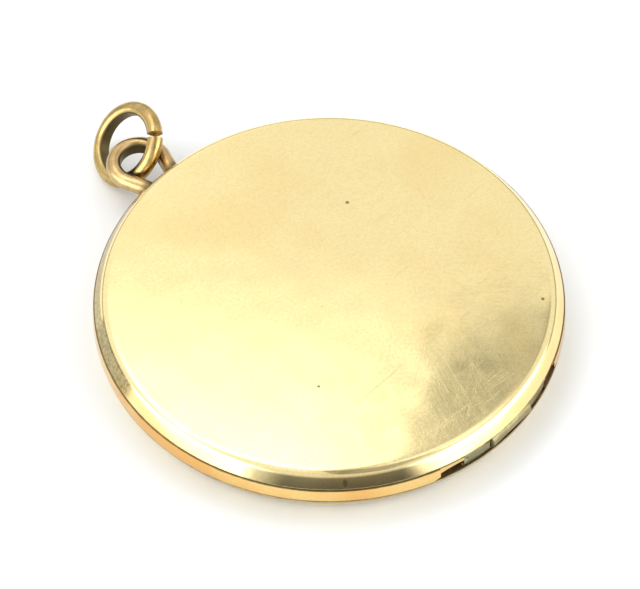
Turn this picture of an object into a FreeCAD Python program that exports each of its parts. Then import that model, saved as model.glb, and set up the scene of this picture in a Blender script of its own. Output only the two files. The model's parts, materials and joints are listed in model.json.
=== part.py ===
import FreeCAD, Part
import math
import os
import Sketcher

# Round hinged locket lying on its back.  Millimetres, +Z up.
# Origin: centre of the flat circle the back cover rests on.
# The hinge is at -Y, the loop and the jump ring are near +Y.

os.makedirs("parts", exist_ok=True)
doc = FreeCAD.newDocument("locket")

SIDES = {"front": 1.0, "back": -1.0}    # above or below the parting plane

SIZES = {
    "outer_radius": 16.0,          # rim edge at the parting line
    "half_height": 2.45,           # resting face to parting plane
    "parting_gap": 0.03,           # each rim stops this far from the parting plane
    "front_rim_top": 1.08,         # where the front cover sits on its rim
    "front_rim_lean": 0.06,        # how far the rim leans inwards over its height
    "back_rim_top": 0.8,
    "back_rim_lean": 0.42,
    "rim_inner_front": 14.4,
    "rim_inner_back": 14.33,
    "edge_break": 0.06,            # small chamfers on rims and cover feet
    "sheet_thickness": 0.45,       # cover metal
    "front_foot_inset": 0.1,       # foot of the front cover, from the outer radius
    "front_slope_inset": 0.516,    # upper end of the straight front slope
    "front_slope_top": 1.858,
    "front_crease_radius": 0.6,
    "front_dome_inset": 1.006,     # where the rounded crease meets the dome
    "front_dome_edge": 2.153,
    "dome_radius": 378.6,          # first guess; the dome's centre stays on the axis
    "back_foot_inset": 0.47,       # the back cover tapers in more than the front one
    "back_slope_inset": 1.15,
    "back_slope_top": 2.0,
    "back_crease_radius": 0.4,
    "back_bottom_inset": 1.42,     # where the rounded crease meets the bottom
    "back_bottom_edge": 2.1547,
    "rest_radius": 9.0,            # flat resting circle of the back cover
    "rest_blend_radius": 53.0,
    "hinge_reach": 15.42,          # hinge axis to locket axis
    "hinge_height": 0.58,          # hinge axis above the parting plane
    "hinge_offset": 0.2,           # the knuckles sit a little to +X
    "knuckle_radius": 0.56,
    "knuckle_clearance": 0.1,
    "center_half_length": 1.93,
    "side_end": 4.2,               # outer end of the side knuckles
    "filed_radius": 15.77,         # front half is filed to this radius at the hinge
    "arch_radius": 4.0,            # scoops in the front rim beside the hinge
    "arch_drop": 3.4,
    "pin_radius": 0.18,
    "pin_hole_radius": 0.20,
    "pin_half_length": 3.9,
    "lip_thickness": 0.25,
    "lip_depth": 0.55,
    "lip_height": 0.5,
    "frame_inner": 12.3,
    "frame_low": 0.7,              # retaining ring, measured from the parting plane
    "window_low": 1.3,
    "picture_low": 1.55,
    "picture_high": 1.73,
    "insert_radius": 13.6,
    "bail_reach": 18.3,            # locket axis to loop centre
    "bail_azimuth": 86.9,
    "bail_radius": 1.75,           # wire centre line
    "bail_wire_radius": 0.575,
    "bail_half_sweep": 110.0,
    "bail_leg": 1.62,
    "ring_radius": 2.55,           # jump ring wire centre line
    "ring_wire_radius": 0.55,
    "ring_gap_angle": 8.0,
    "ring_x": 1.79,
    "ring_y": 20.09,
    "ring_height": -0.03,
    "ring_tilt": 45.2,
    "ring_normal_azimuth": 155.1,
    "ring_gap_at": 60.0,
}

sheet = doc.addObject("Spreadsheet::Sheet", "dims")
for row, (alias, number) in enumerate(SIZES.items(), start=1):
    sheet.set("A%d" % row, alias)
    sheet.set("B%d" % row, str(number))
    sheet.setAlias("B%d" % row, alias)
doc.recompute()


class Size:
    """A number kept together with the sheet expression that gives it."""

    def __init__(self, number, text):
        self.number = number
        self.text = text

    def __add__(self, other):
        other = as_size(other)
        return Size(self.number + other.number, "(%s + %s)" % (self.text, other.text))

    def __sub__(self, other):
        other = as_size(other)
        return Size(self.number - other.number, "(%s - %s)" % (self.text, other.text))

    def __mul__(self, other):
        other = as_size(other)
        return Size(self.number * other.number, "(%s * %s)" % (self.text, other.text))

    def __neg__(self):
        return self * -1.0


def as_size(value):
    """Wrap a plain number."""
    if isinstance(value, Size):
        return value
    return Size(float(value), "(%s)" % float(value))


def size(name):
    """One driving dimension."""
    return Size(SIZES[name], "dims." + name)


def level(height, side=1.0):
    """Height above the table of a level measured from the parting plane."""
    return size("half_height") + as_size(height) * side


def bind(obj, prop, value):
    """Drive a property from the sheet."""
    value = as_size(value)
    obj.setExpression(prop, value.text)


def plane_of(body, role):
    """Origin plane or axis of a body."""
    for feature in body.Origin.OriginFeatures:
        if feature.Role == role:
            return feature
    raise ValueError(role)


def arc_about(centre, start, end):
    """Shorter arc between two points on a circle, turned counter-clockwise."""
    radius = (start - centre).Length
    first = math.atan2(start.y - centre.y, start.x - centre.x)
    last = math.atan2(end.y - centre.y, end.x - centre.x)
    if (last - first) % (2.0 * math.pi) > math.pi:
        first, last = last, first
    circle = Part.Circle(centre, FreeCAD.Vector(0, 0, 1), radius)
    return Part.ArcOfCircle(circle, first, first + (last - first) % (2.0 * math.pi))


def arc_through(start, end, radius, centre_below):
    """Arc of the given radius between two points, centre on the lower side of the chord."""
    middle = (start + end) * 0.5
    chord = end - start
    rise = math.sqrt(max(radius ** 2 - (chord.Length / 2.0) ** 2, 0.0))
    across = FreeCAD.Vector(-chord.y, chord.x, 0).normalize()
    if (across.y > 0) == centre_below:
        across = across * -1.0
    return arc_about(middle + across * rise, start, end)


def closed_profile(sketch, corners):
    """Closed outline.  A corner is (x, y) or (x, y, radius, centre_below) for an arc to the next."""
    points = [FreeCAD.Vector(as_size(c[0]).number, as_size(c[1]).number, 0) for c in corners]
    count = len(corners)
    for index, corner in enumerate(corners):
        start = points[index]
        end = points[(index + 1) % count]
        if len(corner) == 2:
            sketch.addGeometry(Part.LineSegment(start, end), False)
        else:
            radius = as_size(corner[2]).number
            sketch.addGeometry(arc_through(start, end, radius, corner[3]), False)
    ends = [edge_ends(sketch.Geometry[i], points[i]) for i in range(count)]
    for index in range(count):
        following = (index + 1) % count
        sketch.addConstraint(
            Sketcher.Constraint("Coincident", index, ends[index][1], following, ends[following][0]))
    for index, corner in enumerate(corners):
        fix_point(sketch, index, ends[index][0], corner[0], corner[1])
        if len(corner) == 4:
            shape_arc(sketch, index, as_size(corner[2]), ends_on_axis(points, index))


def ends_on_axis(points, index):
    """True when either end of an edge lies on the turning axis."""
    following = (index + 1) % len(points)
    return abs(points[index].x) < 1e-9 or abs(points[following].x) < 1e-9


def shape_arc(sketch, index, radius, on_axis):
    """A dome keeps its centre on the axis; any other arc keeps its radius."""
    if on_axis:
        sketch.addConstraint(Sketcher.Constraint("PointOnObject", index, 3, -2))
        return
    number = sketch.addConstraint(Sketcher.Constraint("Radius", index, radius.number))
    bind(sketch, "Constraints[%d]" % number, radius)


def edge_ends(edge, start):
    """Sketcher point numbers (first, last) of an edge that should begin at start."""
    if (edge.StartPoint - start).Length < 1e-6:
        return (1, 2)
    return (2, 1)


def fix_point(sketch, index, end, across, up):
    """Place one end of an edge with two driven distances."""
    for kind, axis, value in (("DistanceX", -2, as_size(across)), ("DistanceY", -1, as_size(up))):
        if abs(value.number) < 1e-9:
            sketch.addConstraint(Sketcher.Constraint("PointOnObject", index, end, axis))
        else:
            number = sketch.addConstraint(
                Sketcher.Constraint(kind, -1, 1, index, end, value.number))
            bind(sketch, "Constraints[%d]" % number, value)


def new_sketch(body, name, role):
    """Empty sketch on one of the body's own planes."""
    sketch = body.newObject("Sketcher::SketchObject", name)
    sketch.AttachmentSupport = [(plane_of(body, role), "")]
    sketch.MapMode = "FlatFace"
    return sketch


def lathe(label, corners):
    """Solid of revolution about the locket axis."""
    sketch = doc.addObject("Sketcher::SketchObject", label + "_profile")
    sketch.Placement = FreeCAD.Placement(
        FreeCAD.Vector(0, 0, 0), FreeCAD.Rotation(FreeCAD.Vector(1, 0, 0), 90))
    closed_profile(sketch, corners)
    doc.recompute()
    turned = doc.addObject("Part::Revolution", label)
    turned.Source = sketch
    turned.Axis = FreeCAD.Vector(0, 0, 1)
    turned.Angle = 360.0
    turned.Solid = True
    return turned


def rod(label, radius, start, length):
    """Cylinder along X on the hinge axis."""
    item = doc.addObject("Part::Cylinder", label)
    bind(item, "Radius", radius)
    bind(item, "Height", length)
    item.Placement = FreeCAD.Placement(
        FreeCAD.Vector(0, 0, 0), FreeCAD.Rotation(FreeCAD.Vector(0, 1, 0), 90))
    bind(item, "Placement.Base.x", start)
    bind(item, "Placement.Base.y", -size("hinge_reach"))
    bind(item, "Placement.Base.z", level(size("hinge_height")))
    return item


def disc(label, radius, low, height):
    """Upright cylinder on the locket axis."""
    item = doc.addObject("Part::Cylinder", label)
    bind(item, "Radius", radius)
    bind(item, "Height", height)
    bind(item, "Placement.Base.z", low)
    return item


def block(label, corner, lengths):
    """Box from its lowest corner."""
    item = doc.addObject("Part::Box", label)
    for prop, value in zip(("Length", "Width", "Height"), lengths):
        bind(item, prop, value)
    for axis, value in zip("xyz", corner):
        bind(item, "Placement.Base." + axis, value)
    return item


def cut(label, base, tool):
    item = doc.addObject("Part::Cut", label)
    item.Base = base
    item.Tool = tool
    return item


def fuse(label, shapes):
    item = doc.addObject("Part::MultiFuse", label)
    item.Shapes = shapes
    return item


def common(label, shapes):
    item = doc.addObject("Part::MultiCommon", label)
    item.Shapes = shapes
    return item


def rim_corners(half, inner):
    """Outline of a rim: leaning outer face with broken edges."""
    side = SIDES[half]
    edge = size("outer_radius")
    rest = size("edge_break")
    gap = size("parting_gap")
    top = size(half + "_rim_top")
    lean = size(half + "_rim_lean")
    return [
        (size(inner), level(gap, side)),
        (edge - rest, level(gap, side)),
        (edge, level(gap + rest, side)),
        (edge - lean, level(top - rest, side)),
        (edge - lean - rest, level(top, side)),
        (size(inner), level(top, side)),
    ]


def front_cover_corners():
    """Domed sheet with a sloping shoulder."""
    edge = size("outer_radius")
    foot = edge - size("front_foot_inset")
    metal = size("sheet_thickness")
    rest = size("edge_break")
    top = size("front_rim_top")
    crown = level(size("half_height"))
    return [
        (foot - metal, level(top)),
        (foot - rest, level(top)),
        (foot, level(top + rest)),
        (edge - size("front_slope_inset"), level(size("front_slope_top")),
         size("front_crease_radius"), True),
        (edge - size("front_dome_inset"), level(size("front_dome_edge")),
         size("dome_radius"), True),
        (0.0, crown),
        (0.0, crown - metal, size("dome_radius") - metal, True),
        (foot - metal - 0.65, crown - metal - 0.29),
    ]


def back_cover_corners():
    """Tapering dish with a flat circle to rest on."""
    edge = size("outer_radius")
    metal = size("sheet_thickness")
    rest = size("edge_break")
    top = size("back_rim_top")
    foot = edge - size("back_foot_inset")
    bottom = size("back_bottom_edge")
    flat = size("rest_radius")
    return [
        (foot - metal, level(top, -1.0)),
        (foot - rest, level(top, -1.0)),
        (foot, level(top + rest, -1.0)),
        (edge - size("back_slope_inset"), level(size("back_slope_top"), -1.0),
         size("back_crease_radius"), False),
        (edge - size("back_bottom_inset"), level(bottom, -1.0),
         size("rest_blend_radius"), False),
        (flat, 0.0),
        (0.0, 0.0),
        (0.0, metal),
        (flat, metal, size("rest_blend_radius") - metal, False),
        (foot - metal - 0.78, level(bottom - metal + 0.02, -1.0)),
    ]


def ring_corners(inner, outer, low, high, side=1.0):
    """Rectangular ring section."""
    return [
        (inner, level(low, side)),
        (outer, level(low, side)),
        (outer, level(high, side)),
        (inner, level(high, side)),
    ]


def frame_corners(outer, side):
    """Retaining ring with a sloping inner edge."""
    inner = size("frame_inner")
    low = size("frame_low")
    high = size("window_low")
    return [
        (inner + 0.35, level(low, side)),
        (outer - 0.08, level(low, side)),
        (outer, level(low + 0.08, side)),
        (outer, level(high, side)),
        (inner, level(high, side)),
        (inner, level(high - 0.15, side)),
    ]


def insert_corners(low, high, side):
    """Flat round insert."""
    return ring_corners(0.0, size("insert_radius"), low, high, side)


def hinge_x(distance):
    """X of a point measured along the hinge from the middle of the knuckles."""
    return size("hinge_offset") + as_size(distance)


def hinge_face_cutter():
    """Everything outside the filed radius, limited to the hinge zone of the front rim."""
    body = doc.addObject("PartDesign::Body", "hinge_zone")
    sketch = new_sketch(body, "hinge_zone_outline", "XY_Plane")
    closed_profile(sketch, [(-5.75, -14.0), (-6.3, -17.0), (6.3, -17.0), (5.75, -14.0)])
    pad = body.newObject("PartDesign::Pad", "hinge_zone_pad")
    pad.Profile = sketch
    bind(pad, "Length", level(size("front_rim_top")))
    body.Tip = pad
    core = disc("hinge_zone_core", size("filed_radius"), 0.0, level(size("front_rim_top") + 1.0))
    return cut("hinge_zone_outside", body, core)


def hinge_channel():
    """Room for the centre knuckle in the front half."""
    half = size("center_half_length") + size("knuckle_clearance")
    return rod("hinge_channel", size("knuckle_radius") + size("knuckle_clearance"),
               hinge_x(-half), half * 2.0)


def side_rod(label, radius, side):
    """Cylinder over the length of one side knuckle."""
    start = size("center_half_length") + size("knuckle_clearance")
    length = size("side_end") - start
    if side < 0:
        return rod(label, radius, hinge_x(-size("side_end")), length)
    return rod(label, radius, hinge_x(start), length)


def foot_clearance():
    """Room for the foot of the centre knuckle under the front rim."""
    half = size("center_half_length") + size("knuckle_clearance")
    inner = size("hinge_reach") - 0.57
    return block("foot_clearance",
                 (hinge_x(-half), -(inner + 2.0), level(-0.2)),
                 (half * 2.0, 2.0, 0.55))


def corner_relief():
    """Lower outer corner of the front rim, taken off over the whole hinge."""
    reach = size("side_end")
    return block("corner_relief",
                 (hinge_x(-reach), -17.0, level(0.0)),
                 (reach * 2.0, as_size(17.0) - size("hinge_reach"), size("hinge_height")))


def hinge_arch(side):
    """Round scoop under the front rim, just beyond the hinge."""
    arch = doc.addObject("Part::Cylinder", "hinge_arch")
    bind(arch, "Radius", size("arch_radius"))
    arch.Height = 2.6
    arch.Placement = FreeCAD.Placement(
        FreeCAD.Vector(0, 0, 0), FreeCAD.Rotation(FreeCAD.Vector(1, 0, 0), -90))
    bind(arch, "Placement.Base.x", hinge_x((size("side_end") + 0.4) * side))
    bind(arch, "Placement.Base.y", -17.0)
    bind(arch, "Placement.Base.z", level(-size("arch_drop")))
    return arch


def side_knuckle(label, side, filed):
    """Outer hinge tube, filed flush with the front half."""
    tube = side_rod(label + "_tube", size("knuckle_radius"), side)
    bore = side_rod(label + "_bore", size("pin_radius"), side)
    drilled = cut(label + "_drilled", tube, bore)
    return common(label, [drilled, filed])


def center_knuckle():
    """Middle hinge tube with the foot that stands on the back rim."""
    half = size("center_half_length")
    tube = rod("center_tube", size("knuckle_radius"), hinge_x(-half), half * 2.0)
    foot = block("center_foot",
                 (hinge_x(-half), -size("hinge_reach") - 0.08, level(-size("parting_gap"))),
                 (half * 2.0, 0.52, 0.23))
    joined = fuse("center_joined", [tube, foot])
    bore = rod("center_bore", size("pin_hole_radius"), hinge_x(-half - 0.5), half * 2.0 + 1.0)
    return cut("hinge_knuckle_center", joined, bore)


def hinge_pin(filed):
    """Pin through the three tubes, its ends filed with the side knuckles."""
    length = size("pin_half_length")
    shaft = rod("pin_shaft", size("pin_radius"), hinge_x(-length), length * 2.0)
    return common("hinge_pin", [shaft, filed])


def back_rim():
    """Lower band with a shallow groove under the side knuckles."""
    blank = lathe("back_rim_blank", rim_corners("back", "rim_inner_back"))
    low = level(-size("parting_gap") - 0.3)
    outside = disc("groove_outside", size("outer_radius") - 0.12, low, 0.6)
    inside = disc("groove_inside", size("outer_radius") - 0.5, low, 0.6)
    band = cut("groove_band", outside, inside)
    reach = size("side_end") + 0.05
    zone = block("groove_zone", (hinge_x(-reach), -17.0, low), (reach * 2.0, 4.0, 0.6))
    groove = common("groove", [band, zone])
    return blank, cut("back_rim", blank, groove)


def closing_lip():
    """Thin inner ring, open at the hinge."""
    outer = size("rim_inner_back")
    inner = outer - size("lip_thickness")
    ring = lathe("closing_lip_ring", [
        (inner, level(-size("lip_depth"))),
        (outer, level(-size("lip_depth"))),
        (outer, level(size("lip_height") - 0.1)),
        (outer - 0.08, level(size("lip_height"))),
        (inner, level(size("lip_height"))),
    ])
    gap = block("closing_lip_gap", (-17.0, -27.0, 0.0), (34.0, 17.0, 6.0))
    return cut("closing_lip", ring, gap)


def wire_corners(distance, radius, flat):
    """Round wire section with a flattened inner side, centred at (distance, 0)."""
    half = (radius.number ** 2 - flat.number ** 2) ** 0.5
    half_size = Size(half, "sqrt(%s ^ 2 - %s ^ 2)" % (radius.text, flat.text))
    return distance - flat, half_size


def wire_section(sketch, distance, radius, flat):
    """Draw the flattened wire section."""
    x_flat, half = wire_corners(distance, radius, flat)
    low = FreeCAD.Vector(x_flat.number, -half.number, 0)
    high = FreeCAD.Vector(x_flat.number, half.number, 0)
    circle = Part.Circle(FreeCAD.Vector(distance.number, 0, 0), FreeCAD.Vector(0, 0, 1), radius.number)
    turn = math.pi - math.acos((distance.number - x_flat.number) / radius.number)
    sketch.addGeometry(Part.ArcOfCircle(circle, -turn, turn), False)
    sketch.addGeometry(Part.LineSegment(high, low), False)
    first, last = edge_ends(sketch.Geometry[0], low)
    sketch.addConstraint(Sketcher.Constraint("Coincident", 0, last, 1, 1))
    sketch.addConstraint(Sketcher.Constraint("Coincident", 0, first, 1, 2))
    fix_point(sketch, 1, 1, x_flat, half)
    fix_point(sketch, 1, 2, x_flat, -half)
    number = sketch.addConstraint(Sketcher.Constraint("Radius", 0, radius.number))
    bind(sketch, "Constraints[%d]" % number, radius)


def bail_frame(local_x, local_y, height):
    """Placement of a point given outwards and sideways from the loop centre."""
    azimuth = SIZES["bail_azimuth"]
    turn = FreeCAD.Rotation(FreeCAD.Vector(0, 0, 1), azimuth)
    offset = turn.multVec(FreeCAD.Vector(SIZES["bail_reach"] + local_x, local_y, 0))
    offset.z = SIZES["half_height"] + height
    return FreeCAD.Placement(offset, turn)


def bail_section(label, turn):
    """Wire section on the loop centre line, turned from the outward direction."""
    sketch = doc.addObject("Sketcher::SketchObject", label)
    wire_section(sketch, size("bail_radius"), size("bail_wire_radius"),
                 size("bail_wire_radius") * 0.72)
    around = FreeCAD.Placement(
        FreeCAD.Vector(0, 0, 0), FreeCAD.Rotation(FreeCAD.Vector(0, 0, 1), turn))
    upright = FreeCAD.Placement(
        FreeCAD.Vector(0, 0, 0), FreeCAD.Rotation(FreeCAD.Vector(1, 0, 0), 90))
    sketch.Placement = bail_frame(0.0, 0.0, 0.0).multiply(around).multiply(upright)
    return sketch


def bail_leg(label, section, side):
    """Straight leg from one end of the bend towards the rim."""
    leg = doc.addObject("Part::Extrusion", label)
    leg.Base = section
    leg.DirMode = "Custom"
    turn = SIZES["bail_azimuth"] + side * (SIZES["bail_half_sweep"] + 90.0)
    leg.Dir = FreeCAD.Vector(math.cos(math.radians(turn)), math.sin(math.radians(turn)), 0)
    bind(leg, "LengthFwd", size("bail_leg"))
    leg.Solid = True
    return leg


def bail_wire():
    """Horseshoe wire: a bend and two converging legs."""
    half = SIZES["bail_half_sweep"]
    far = bail_section("bail_section_far", -half)
    near = bail_section("bail_section_near", half)
    doc.recompute()
    bend = doc.addObject("Part::Revolution", "bail_bend")
    bend.Source = far
    bend.Base = bail_frame(0.0, 0.0, 0.0).Base
    bend.Axis = FreeCAD.Vector(0, 0, 1)
    bind(bend, "Angle", size("bail_half_sweep") * 2.0)
    bend.Solid = True
    return [bend, bail_leg("bail_leg_far", far, -1.0), bail_leg("bail_leg_near", near, 1.0)]


def foot_pad(label, local_y, half_width):
    """Flattened solder pad, oval in section, where a leg meets the rim."""
    outline = doc.addObject("Part::Ellipse", label + "_outline")
    outline.MajorRadius = half_width
    outline.MinorRadius = 0.41
    reach = SIZES["outer_radius"] - SIZES["bail_reach"]
    inner = bail_frame(reach - 0.5, local_y, -0.49)
    stand = FreeCAD.Rotation(
        FreeCAD.Vector(0, 1, 0), FreeCAD.Vector(0, 0, 1), FreeCAD.Vector(1, 0, 0), "ZXY")
    outline.Placement = FreeCAD.Placement(inner.Base, inner.Rotation.multiply(stand))
    pad = doc.addObject("Part::Extrusion", label)
    pad.Base = outline
    pad.DirMode = "Custom"
    pad.Dir = inner.Rotation.multVec(FreeCAD.Vector(1, 0, 0))
    pad.LengthFwd = 0.95
    pad.Solid = True
    return pad


def bail_loop(rim_blank):
    """Loop wire and its two pads, fitted to the back rim and clear of the front rim."""
    near = foot_pad("bail_pad_near", 1.15, 0.95)
    far = foot_pad("bail_pad_far", -1.1, 0.62)
    joined = fuse("bail_joined", bail_wire() + [near, far])
    clear = disc("bail_clearance", size("outer_radius") + 0.12,
                 level(-size("parting_gap")), 3.0)
    inner = disc("bail_inside", size("outer_radius") - size("back_foot_inset") + 0.02, 0.0, 6.0)
    fitted = cut("bail_fitted", joined, rim_blank)
    trimmed = cut("bail_trimmed", fitted, inner)
    return cut("bail_loop", trimmed, clear)


def jump_ring():
    """Open wire ring hooked through the loop, leaning on the table."""
    body = doc.addObject("PartDesign::Body", "jump_ring")
    section = new_sketch(body, "ring_section", "XZ_Plane")
    wire_section(section, size("ring_radius"), size("ring_wire_radius"),
                 size("ring_wire_radius") * 0.72)
    turned = body.newObject("PartDesign::Revolution", "ring_turned")
    turned.Profile = section
    turned.ReferenceAxis = (section, ["V_Axis"])
    bind(turned, "Angle", as_size(360.0) - size("ring_gap_angle"))
    body.Tip = turned
    doc.recompute()
    up = FreeCAD.Vector(0, 0, 1)
    heading = FreeCAD.Rotation(up, SIZES["ring_normal_azimuth"] + 90.0)
    tilt = FreeCAD.Rotation(FreeCAD.Vector(1, 0, 0), SIZES["ring_tilt"])
    spin = FreeCAD.Rotation(up, SIZES["ring_gap_at"] + SIZES["ring_gap_angle"] / 2.0)
    centre = FreeCAD.Vector(SIZES["ring_x"], SIZES["ring_y"],
                            SIZES["half_height"] + SIZES["ring_height"])
    body.Placement = FreeCAD.Placement(centre, heading.multiply(tilt).multiply(spin))
    return body


def build():
    """Make every piece and return them by name."""
    filed = disc("filed_face", size("filed_radius"), 0.0, 8.0)
    channel = hinge_channel()
    seats = [side_rod("seat_left", size("knuckle_radius"), -1.0),
             side_rod("seat_right", size("knuckle_radius"), 1.0)]
    rim_cutters = [channel, foot_clearance(), hinge_face_cutter(), corner_relief(),
                   hinge_arch(-1.0), hinge_arch(1.0)] + seats
    rim_tools = fuse("front_rim_tools", rim_cutters)
    cover_tools = fuse("front_cover_tools", [channel] + seats)
    rim_front = lathe("front_rim_blank", rim_corners("front", "rim_inner_front"))
    cover_front = lathe("front_cover_blank", front_cover_corners())
    blank, rim_back = back_rim()
    pieces = [
        cut("front_rim", rim_front, rim_tools),
        cut("front_cover", cover_front, cover_tools),
        rim_back,
        lathe("back_cover", back_cover_corners()),
        closing_lip(),
        center_knuckle(),
        side_knuckle("hinge_knuckle_left", -1.0, filed),
        side_knuckle("hinge_knuckle_right", 1.0, filed),
        hinge_pin(filed),
        lathe("front_frame", frame_corners(size("rim_inner_front") - 0.02, 1.0)),
        lathe("back_frame", frame_corners(size("rim_inner_back") - 0.02, -1.0)),
        bail_loop(blank),
        jump_ring(),
    ]
    for name, side in SIDES.items():
        window = insert_corners(size("window_low"), size("picture_low"), side)
        picture = insert_corners(size("picture_low"), size("picture_high"), side)
        pieces.append(lathe(name + "_window", window))
        pieces.append(lathe(name + "_picture", picture))
    return pieces


def check_and_write(pieces):
    """Stop on any broken feature, then write one STEP file per piece."""
    for obj in doc.Objects:
        if "Invalid" in obj.State or "Error" in obj.State:
            raise RuntimeError("%s: %s" % (obj.Label, obj.State))
    for piece in pieces:
        shape = piece.Shape
        if shape.isNull() or not shape.isValid():
            raise RuntimeError("bad shape: " + piece.Label)
        print("%-22s %9.4f mm3  solids %d  z %.3f..%.3f" % (
            piece.Label, shape.Volume, len(shape.Solids), shape.BoundBox.ZMin, shape.BoundBox.ZMax))
        shape.exportStep(os.path.join("parts", piece.Label + ".step"))


pieces = build()
doc.recompute()
check_and_write(pieces)
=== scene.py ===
import json
import math
import random

import bmesh
import bpy
from mathutils import Matrix, Vector


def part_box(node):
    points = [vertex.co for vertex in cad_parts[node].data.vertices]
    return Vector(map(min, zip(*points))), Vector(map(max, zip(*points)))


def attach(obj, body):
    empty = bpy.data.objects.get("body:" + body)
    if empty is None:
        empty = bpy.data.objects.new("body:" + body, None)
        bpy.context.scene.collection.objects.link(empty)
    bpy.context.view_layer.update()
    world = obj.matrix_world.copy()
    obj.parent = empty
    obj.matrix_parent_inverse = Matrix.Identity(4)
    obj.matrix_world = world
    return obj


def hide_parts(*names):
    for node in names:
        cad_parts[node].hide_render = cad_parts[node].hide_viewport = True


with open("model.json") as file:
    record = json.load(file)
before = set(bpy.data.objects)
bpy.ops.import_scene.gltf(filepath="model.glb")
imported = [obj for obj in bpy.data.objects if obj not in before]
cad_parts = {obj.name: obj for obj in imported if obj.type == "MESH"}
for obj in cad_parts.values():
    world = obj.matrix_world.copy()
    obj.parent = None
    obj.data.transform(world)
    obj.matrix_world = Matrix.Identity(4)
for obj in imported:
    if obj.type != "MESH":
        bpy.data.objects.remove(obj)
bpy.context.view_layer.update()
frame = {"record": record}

MM = 0.001
VIEW_AZIMUTH = -49.1      # camera azimuth about the locket, degrees
VIEW_ELEVATION = 52.3
VIEW_DISTANCE = 320.0     # mm from the middle of the parting plane
FRAME_WIDTH = 640.0       # width of the rendered frame
LENS = 4724.0             # focal length in units of the frame's width of 640
FRAME_SHIFT = (-9.2, 14.8)   # lens shift, in the same units


# ---------------------------------------------------------------- sizes read from the CAD frame

def box_mm(node):
    """Lowest and highest corner of a CAD node in millimetres."""
    low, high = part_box(node)
    return Vector(low) / MM, Vector(high) / MM


rim_low, rim_high = box_mm("back_rim")
front_rim_low, front_rim_high = box_mm("front_rim")
knuckle_low, knuckle_high = box_mm("hinge_knuckle_center")
joints = {joint["name"]: joint for joint in frame["record"]["behaviour"]["joints"]}
mounts = {mount["name"]: mount for mount in frame["record"]["mounts"]}
hinge_at = Vector(joints["cover_hinge"]["pos_m"]) / MM
ring_centre = Vector(mounts["ring_eye"]["pos_m"]) / MM
ring_axis = Vector(mounts["ring_eye"]["axis"]).normalized()

EDGE = (rim_high.x - rim_low.x) / 2.0                       # radius of the rims at the parting plane
PART_Z = (rim_high.z + front_rim_low.z) / 2.0               # height of the parting plane
HALF = PART_Z - box_mm("back_cover")[0].z                   # height of each half
GAP = front_rim_low.z - PART_Z                              # half the gap between the rims
SEAM = {1.0: front_rim_high.z - PART_Z, -1.0: PART_Z - rim_low.z}   # rim heights, front and back
LEAN = {1.0: 0.06, -1.0: 0.42}                              # how far each rim leans in
FOOT = {1.0: 0.1, -1.0: 0.47}                               # how far in each cover's foot stands
SHEET = 0.45                                                # thickness of the covers
CREASE = {1.0: (0.77, 2.15), -1.0: (1.25, 2.13)}            # shoulder's inner end: inset, height
CREASE_RADIUS = {1.0: 1.15, -1.0: 0.4}
CREASE_RUN = {1.0: (0.8, 0.033), -1.0: (0.8, 0.08)}         # next point inwards: inset, rise
INNER_WALL = {1.0: 0.65, -1.0: 0.78}                        # slope of the covers' inner wall
HINGE_X = (knuckle_low.x + knuckle_high.x) / 2.0
CENTER_HALF = (knuckle_high.x - knuckle_low.x) / 2.0        # half the length of the middle tube
SIDE_END = 4.2                                              # half the length of the whole hinge
TUBE = knuckle_high.z - hinge_at.z                          # radius of the hinge tubes
JOINT_GAP = 0.1                                             # play between the hinge tubes
FILED = 15.77                                               # the hinge is filed flush to this radius
OUTSIDE_Y = -17.0                                           # beyond the hinge side of the locket
ARCH_RADIUS = 4.0                                           # radius of the scoops beside the hinge
ARCH_DROP = 3.4                                             # depth of their axis under the parting plane
RIM_INNER = {1.0: 14.4, -1.0: 14.33}                        # inner radii of the rims
RING_RADIUS = 2.55                                          # jump ring, to the middle of its wire
RING_WIRE = 0.55                                            # radius of its wire
RING_START = 64.0                                           # where the sawn gap ends, degrees
RING_TURN = 352.0                                           # length of its wire round the ring, degrees
LOOP_RADIUS = 1.75                                          # loop, to the middle of its wire
LOOP_WIRE = 0.575                                           # radius of its wire
LOOP_REACH = 18.3                                           # from the locket's axis to the bend's centre
LOOP_AZIMUTH = math.radians(86.9)
LOOP_BEND = 110.0                                           # half the angle of the bend, degrees
LOOP_LEG = 1.62                                             # straight length of each leg
FILED_WIRE = 0.72                                           # flat on a wire's inner side, of its radius
FRAME_OUTER = {1.0: 14.38, -1.0: 14.31}                     # outer radii of the retaining rings
INSERT_RADIUS = 13.6
BACK_FLAT = 9.0                                             # radius of the back's flat middle
UP = Vector((0.0, 0.0, 1.0))
LOOP_OUT = Vector((math.cos(LOOP_AZIMUTH), math.sin(LOOP_AZIMUTH), 0.0))
LOOP_ASIDE = Vector((-LOOP_OUT.y, LOOP_OUT.x, 0.0))
LOOP_CENTRE = LOOP_OUT * LOOP_REACH + UP * PART_Z


# ---------------------------------------------------------------- mesh helpers

def new_object(name, bm, sharp=32.0):
    """Turn a bmesh in millimetres into a smooth shaded object in metres."""
    bmesh.ops.recalc_face_normals(bm, faces=bm.faces)
    mesh = bpy.data.meshes.new(name)
    bm.to_mesh(mesh)
    bm.free()
    mesh.transform(Matrix.Scale(MM, 4))
    mesh.shade_smooth()
    mesh.set_sharp_from_angle(angle=math.radians(sharp))
    obj = bpy.data.objects.new(name, mesh)
    bpy.context.scene.collection.objects.link(obj)
    return obj


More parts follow.
